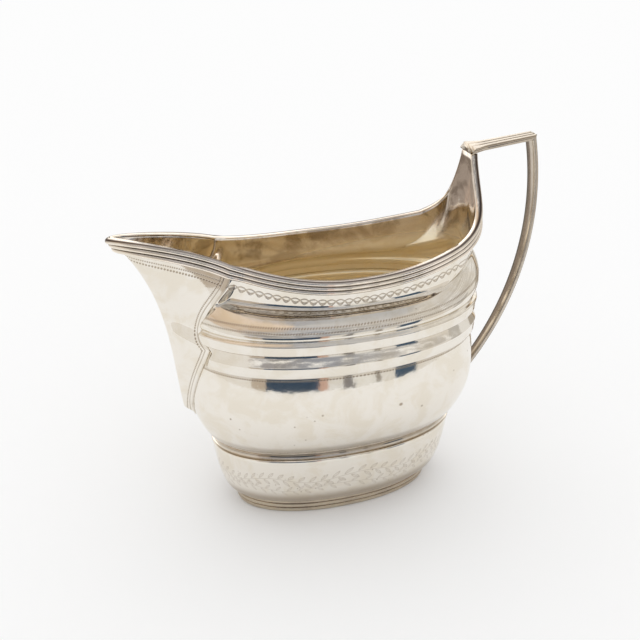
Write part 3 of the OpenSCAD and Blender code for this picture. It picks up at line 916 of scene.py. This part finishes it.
def footProfile():
    inner = foot["flare"] - foot["wall"]
    profile = [(inner, foot["height"], plainReed), (inner, 0, plainReed)]
    radius = foot["height"] / foot["reeds"] / 2
    for reed in range(foot["reeds"]):
        for k in range(foot["reedPoints"] + 1):
            way = math.pi * k / foot["reedPoints"]
            down = radius * (2 * reed + 1) - radius * math.cos(way)
            out = foot["flare"] * down / foot["height"] - foot["reedDepth"] * (1 - math.sin(way))
            profile.append((out, down, reed + k / foot["reedPoints"]))
    return profile


def makeFoot():
    profile = footProfile()

    def place(u, v):
        out, height, _ = profile[round(v * len(profile)) % len(profile)]
        point = oval(foot["length"] / 2 + out, foot["width"] / 2 + out, 360 * u, body["squareness"])
        point.z = height
        return point

    def reedMap(u, v):
        return (u, profile[round(v * len(profile)) % len(profile)][2])

    bm = bentGrid(foot["columns"], len(profile), place, {"reeds": reedMap})
    closeUp(bm)
    finishPiece("foot-wire", bm, [footSilver], ["foot_wire"], foot["within"])


plate = {"lift": 2.4, "thickness": 1.1, "rings": 24, "columns": 160, "within": (0, 0, 0)}


def makePlate():
    halfLength = foot["length"] / 2 + foot["flare"] - foot["wall"]
    halfWidth = foot["width"] / 2 + foot["flare"] - foot["wall"]

    def place(u, v):
        point = oval(halfLength * v, halfWidth * v, 360 * u, body["squareness"])
        point.z = plate["lift"] + plate["thickness"]
        return point

    bm = bentGrid(plate["columns"], plate["rings"], place, {})
    closeUp(bm)
    finishPiece("base-plate", bm, [giltInside], ["base_plate"], plate["within"],
                plate["thickness"])


makeBand()
makeFoot()
makePlate()


# the handle: a reeded bar on the riser's top edge and a strap that falls to the belly

bar = {
    "thickness": 1.6, "startWidth": 5.8, "cornerWidth": 4.8, "reeds": 3, "reedRelief": 0.4,
    "start": 38.9, "corner": 58, "low": 102.65, "climb": 2, "steps": 40, "reedPoints": 6,
    "rootFlare": 1, "rootShare": 0.25, "rootFold": 1.1, "edgeRise": 0.15, "edgeShare": 0.94,
    "within": (50, 0, 104),
}
grip = {
    "upperPull": (64.5, 82), "lowerPull": (61, 54), "tailHeight": 29.6, "tailWidth": 3.2,
    "steps": 90, "crown": 0.4, "points": 14, "sunk": 0.4, "edgeRise": 0.25, "edgeShare": 0.86,
    "lookAhead": 0.01, "within": (50, 0, 70),
}


def makeBar():
    profile = []
    for reed in range(bar["reeds"]):
        for k in range(bar["reedPoints"] + 1):
            way = math.pi * k / bar["reedPoints"]
            share = (reed + (1 - math.cos(way)) / 2) / bar["reeds"]
            profile.append((1 - 2 * share, 1 - math.sin(way), reed + k / bar["reedPoints"]))
    corners = [(-1, bar["edgeRise"]), (-bar["edgeShare"], 0), (bar["edgeShare"], 0),
               (1, bar["edgeRise"])]
    profile += [(side, None, plainReed) for side, _ in corners]

    def place(u, v):
        k = round(u * len(profile)) % len(profile)
        side, groove, _ = profile[k]
        if groove is None:
            up = corners[k - len(profile)][1]
        else:
            up = bar["thickness"] - bar["reedRelief"] * groove * smooth(v / bar["rootShare"])
        half = mix(bar["startWidth"], bar["cornerWidth"], v) / 2
        half += bar["rootFlare"] * (1 - smooth(v / bar["rootShare"]))
        end = bar["corner"] + up
        start = bar["start"] + bar["rootFold"] * (up / bar["thickness"]) ** 2
        return Vector((mix(start, end, v), half * side, bar["low"] + bar["climb"] * v + up))

    def reedMap(u, v):
        return (v, profile[round(u * len(profile)) % len(profile)][2])

    bm = bentGrid(len(profile), bar["steps"], place, {"reeds": reedMap})
    closeUp(bm)
    fillEnds(bm)
    finishPiece("handle-bar", bm, [barSilver], ["handle_bar"], bar["within"])


def makeGrip():
    halfStrap = bar["thickness"] / 2
    cornerX, cornerZ = bar["corner"] + halfStrap, bar["low"] + bar["climb"] + halfStrap
    tail = bellyLevel((grip["tailHeight"] - body["waistHeight"])
                      / (body["bellyHeight"] - body["waistHeight"]))
    points = [Vector((cornerX, cornerZ)), Vector(grip["upperPull"]), Vector(grip["lowerPull"]),
              Vector((tail[2] - grip["sunk"], grip["tailHeight"]))]
    profile = []
    for k in range(grip["points"] + 1):
        side = math.cos(math.pi * k / grip["points"])
        profile.append((side, halfStrap - grip["crown"] * side * side))
    profile += [(-1, -halfStrap + grip["edgeRise"]), (-grip["edgeShare"], -halfStrap),
                (grip["edgeShare"], -halfStrap), (1, -halfStrap + grip["edgeRise"])]

    def place(u, v):
        side, out = profile[round(u * len(profile)) % len(profile)]
        half = mix(bar["cornerWidth"], grip["tailWidth"], v) / 2
        middle = bezier(points, v)
        ahead, behind = min(1, v + grip["lookAhead"]), max(0, v - grip["lookAhead"])
        way = (bezier(points, ahead) - bezier(points, behind)).normalized()
        x, z = middle.x - way.y * out, middle.y + way.x * out
        if v == 0:
            x, z = cornerX + out, cornerZ + out  # cut at half the right angle, for the mitre
        return Vector((x, half * side, z))

    bm = bentGrid(len(profile), grip["steps"], place, {})
    closeUp(bm)
    fillEnds(bm)
    finishPiece("handle-strap", bm, [handleSilver], ["handle_grip"],
                grip["within"])


makeBar()
makeGrip()


# the studio, in metres: a white floor, a white world, and a room that only shows in reflections

studio = {
    "floorReach": 3.0, "floorColour": (0.98, 0.98, 0.98), "floorBounce": (0.8, 0.78, 0.74),
    "floorRoughness": 0.9, "worldStrength": 1.0,
}
room = {
    "reach": (0.25, 0.185), "columns": 192,
    # height of each ring and its reach as a share
    "rings": ((0.002, 1), (0.3, 1), (0.46, 0.85), (0.56, 0.5), (0.6, 0.02)),
    "bandEdge": (0.07, 0.11), "glowEdge": (0.38, 0.46),
    # on both sides of -X, at a turn of 0 or 1, the stripes are pale and their band reaches higher
    "paleEdges": ((0.09, 0.13), (0.92, 0.88)), "paleLift": 0.13,
    "lamp": (1, 1, 1), "streakEdge": (0.15, 0.0), "streakSquash": 4,
    "noiseScale": 22, "noiseDetail": 3, "turnShake": 0.02, "heightShake": 0.03,
    "stripes": (
        (0.00, (0.86, 0.84, 0.81)), (0.118, (0.56, 0.49, 0.42)), (0.15, (0.05, 0.08, 0.13)),
        (0.235, (0.62, 0.42, 0.34)), (0.25, (0.8, 0.79, 0.77)), (0.272, (0.25, 0.24, 0.24)),
        (0.284, (0.85, 0.84, 0.81)), (0.308, (0.35, 0.32, 0.28)), (0.316, (0.82, 0.8, 0.77)),
        (0.335, (0.06, 0.1, 0.16)), (0.368, (0.8, 0.77, 0.73)), (0.44, (0.55, 0.53, 0.5)),
        (0.47, (0.85, 0.84, 0.82)), (0.52, (0.45, 0.41, 0.36)), (0.58, (0.8, 0.78, 0.75)),
        (0.63, (0.55, 0.45, 0.36)), (0.69, (0.3, 0.27, 0.24)), (0.76, (0.5, 0.4, 0.33)),
        (0.785, (0.34, 0.29, 0.25)), (0.83, (0.5, 0.44, 0.38)), (0.88, (0.84, 0.82, 0.79)),
    ),
    "sky": (
        (0.00, (0.85, 0.7, 0.55)), (0.12, (0.65, 0.54, 0.45)), (0.2, (0.5, 0.51, 0.55)),
        (0.4, (0.66, 0.65, 0.65)), (0.52, (0.55, 0.55, 0.56)), (0.72, (0.45, 0.46, 0.5)),
        (0.9, (0.85, 0.72, 0.6)),
    ),
    "ceiling": (
        (0.00, (0.72, 0.55, 0.4)), (0.09, (0.66, 0.52, 0.4)), (0.13, (0.4, 0.38, 0.38)),
        (0.25, (0.33, 0.35, 0.4)), (0.36, (0.58, 0.55, 0.52)), (0.45, (0.6, 0.57, 0.53)),
        (0.55, (0.85, 0.83, 0.8)), (0.64, (1.8, 1.76, 1.7)), (0.84, (1.8, 1.76, 1.7)),
        (0.9, (0.8, 0.72, 0.62)), (1.0, (0.72, 0.55, 0.4)),
    ),
}


def plainPiece(name, bm, material):
    mesh = bpy.data.meshes.new(name)
    bm.to_mesh(mesh)
    bm.free()
    piece = bpy.data.objects.new(name, mesh)
    bpy.context.scene.collection.objects.link(piece)
    mesh.materials.append(material)
    return piece


def makeFloor():
    bm = bmesh.new()
    bmesh.ops.create_grid(bm, x_segments=1, y_segments=1, size=studio["floorReach"])
    material, tree, shader = newMaterial("white floor")
    path = tree.nodes.new("ShaderNodeLightPath").outputs
    seen = calc(tree, "MAXIMUM", path["Is Camera Ray"],
                calc(tree, "MAXIMUM", path["Is Glossy Ray"], path["Is Transmission Ray"]))
    tree.links.new(mixColour(tree, seen, studio["floorBounce"], studio["floorColour"]),
                   shader.inputs["Base Color"])
    shader.inputs["Roughness"].default_value = studio["floorRoughness"]
    shader.inputs["Specular IOR Level"].default_value = 0
    plainPiece("floor", bm, material)


def makeWorld():
    world = bpy.data.worlds.new("white room")
    bpy.context.scene.world = world
    world.use_nodes = True
    background = world.node_tree.nodes["Background"].inputs
    background["Color"].default_value = (1, 1, 1, 1)
    background["Strength"].default_value = studio["worldStrength"]


def rampOf(tree, source, stripes, interpolation):
    ramp = tree.nodes.new("ShaderNodeValToRGB")
    ramp.color_ramp.interpolation = interpolation
    stops = ramp.color_ramp.elements
    stops.remove(stops[1])
    for k, (start, colour) in enumerate(stripes):
        stop = stops.new(start) if k else stops[0]
        stop.position = start
        stop.color = (*colour, 1)
    tree.links.new(source, ramp.inputs[0])
    return ramp.outputs[0]


def roomNoise(tree, point, squash):
    stretch = tree.nodes.new("ShaderNodeMapping")
    scale = room["noiseScale"]
    stretch.inputs["Scale"].default_value = (scale, scale, scale * squash)
    tree.links.new(point, stretch.inputs["Vector"])
    noise = tree.nodes.new("ShaderNodeTexNoise")
    noise.inputs["Scale"].default_value = 1
    noise.inputs["Detail"].default_value = room["noiseDetail"]
    tree.links.new(stretch.outputs[0], noise.inputs["Vector"])
    return calc(tree, "SUBTRACT", noise.outputs["Fac"], 0.5)


def roomMaterial():
    material = bpy.data.materials.new("room")
    material.use_nodes = True
    tree = material.node_tree
    tree.nodes.remove(tree.nodes["Principled BSDF"])
    point = tree.nodes.new("ShaderNodeTexCoord").outputs["Object"]
    shake, streaks = roomNoise(tree, point, 1), roomNoise(tree, point, room["streakSquash"])
    gradient = tree.nodes.new("ShaderNodeTexGradient")
    gradient.gradient_type = "RADIAL"
    tree.links.new(point, gradient.inputs["Vector"])
    turn = gradient.outputs["Fac"]
    up = tree.nodes.new("ShaderNodeSeparateXYZ")
    tree.links.new(point, up.inputs[0])
    shaken = calc(tree, "ADD", turn, calc(tree, "MULTIPLY", shake, room["turnShake"]))
    height = calc(tree, "ADD", up.outputs[2], calc(tree, "MULTIPLY", shake, room["heightShake"]))
    pale = calc(tree, "MAXIMUM", *(fadeOut(tree, turn, *edge) for edge in room["paleEdges"]))
    bandHeight = calc(tree, "SUBTRACT", height, calc(tree, "MULTIPLY", pale, room["paleLift"]))
    stripes = rampOf(tree, shaken, room["stripes"], "CONSTANT")
    ceiling = rampOf(tree, turn, room["ceiling"], "LINEAR")
    sky = rampOf(tree, turn, room["sky"], "LINEAR")
    glow = mixColour(tree, fadeOut(tree, streaks, *room["streakEdge"]), ceiling, room["lamp"])
    upper = mixColour(tree, fadeOut(tree, height, *room["glowEdge"]), sky, glow)
    inBand = fadeOut(tree, bandHeight, *room["bandEdge"])
    light = tree.nodes.new("ShaderNodeEmission")
    tree.links.new(mixColour(tree, inBand, upper, stripes), light.inputs["Color"])
    tree.links.new(light.outputs[0], tree.nodes["Material Output"].inputs[0])
    return material


def makeRoom():
    bm = bmesh.new()
    (low, _), *above = room["rings"]
    ring = bmesh.ops.create_circle(bm, segments=room["columns"], radius=1)["verts"]
    bmesh.ops.scale(bm, vec=(*room["reach"], 1), verts=ring)
    bmesh.ops.translate(bm, vec=(0, 0, low), verts=ring)
    edges, last, width = bm.edges[:], low, 1
    for height, share in above:
        made = bmesh.ops.extrude_edge_only(bm, edges=edges)["geom"]
        verts = [v for v in made if isinstance(v, bmesh.types.BMVert)]
        edges = [e for e in made if isinstance(e, bmesh.types.BMEdge)
                 and all(v in verts for v in e.verts)]
        bmesh.ops.translate(bm, vec=(0, 0, height - last), verts=verts)
        bmesh.ops.scale(bm, vec=(share / width, share / width, 1), verts=verts)
        last, width = height, share
    ringWall = plainPiece("room", bm, roomMaterial())
    ringWall.visible_camera = False
    ringWall.visible_diffuse = False
    ringWall.visible_shadow = False


makeFloor()
makeWorld()
makeRoom()
bpy.context.scene.view_settings.view_transform = "Standard"
print("studio ready")
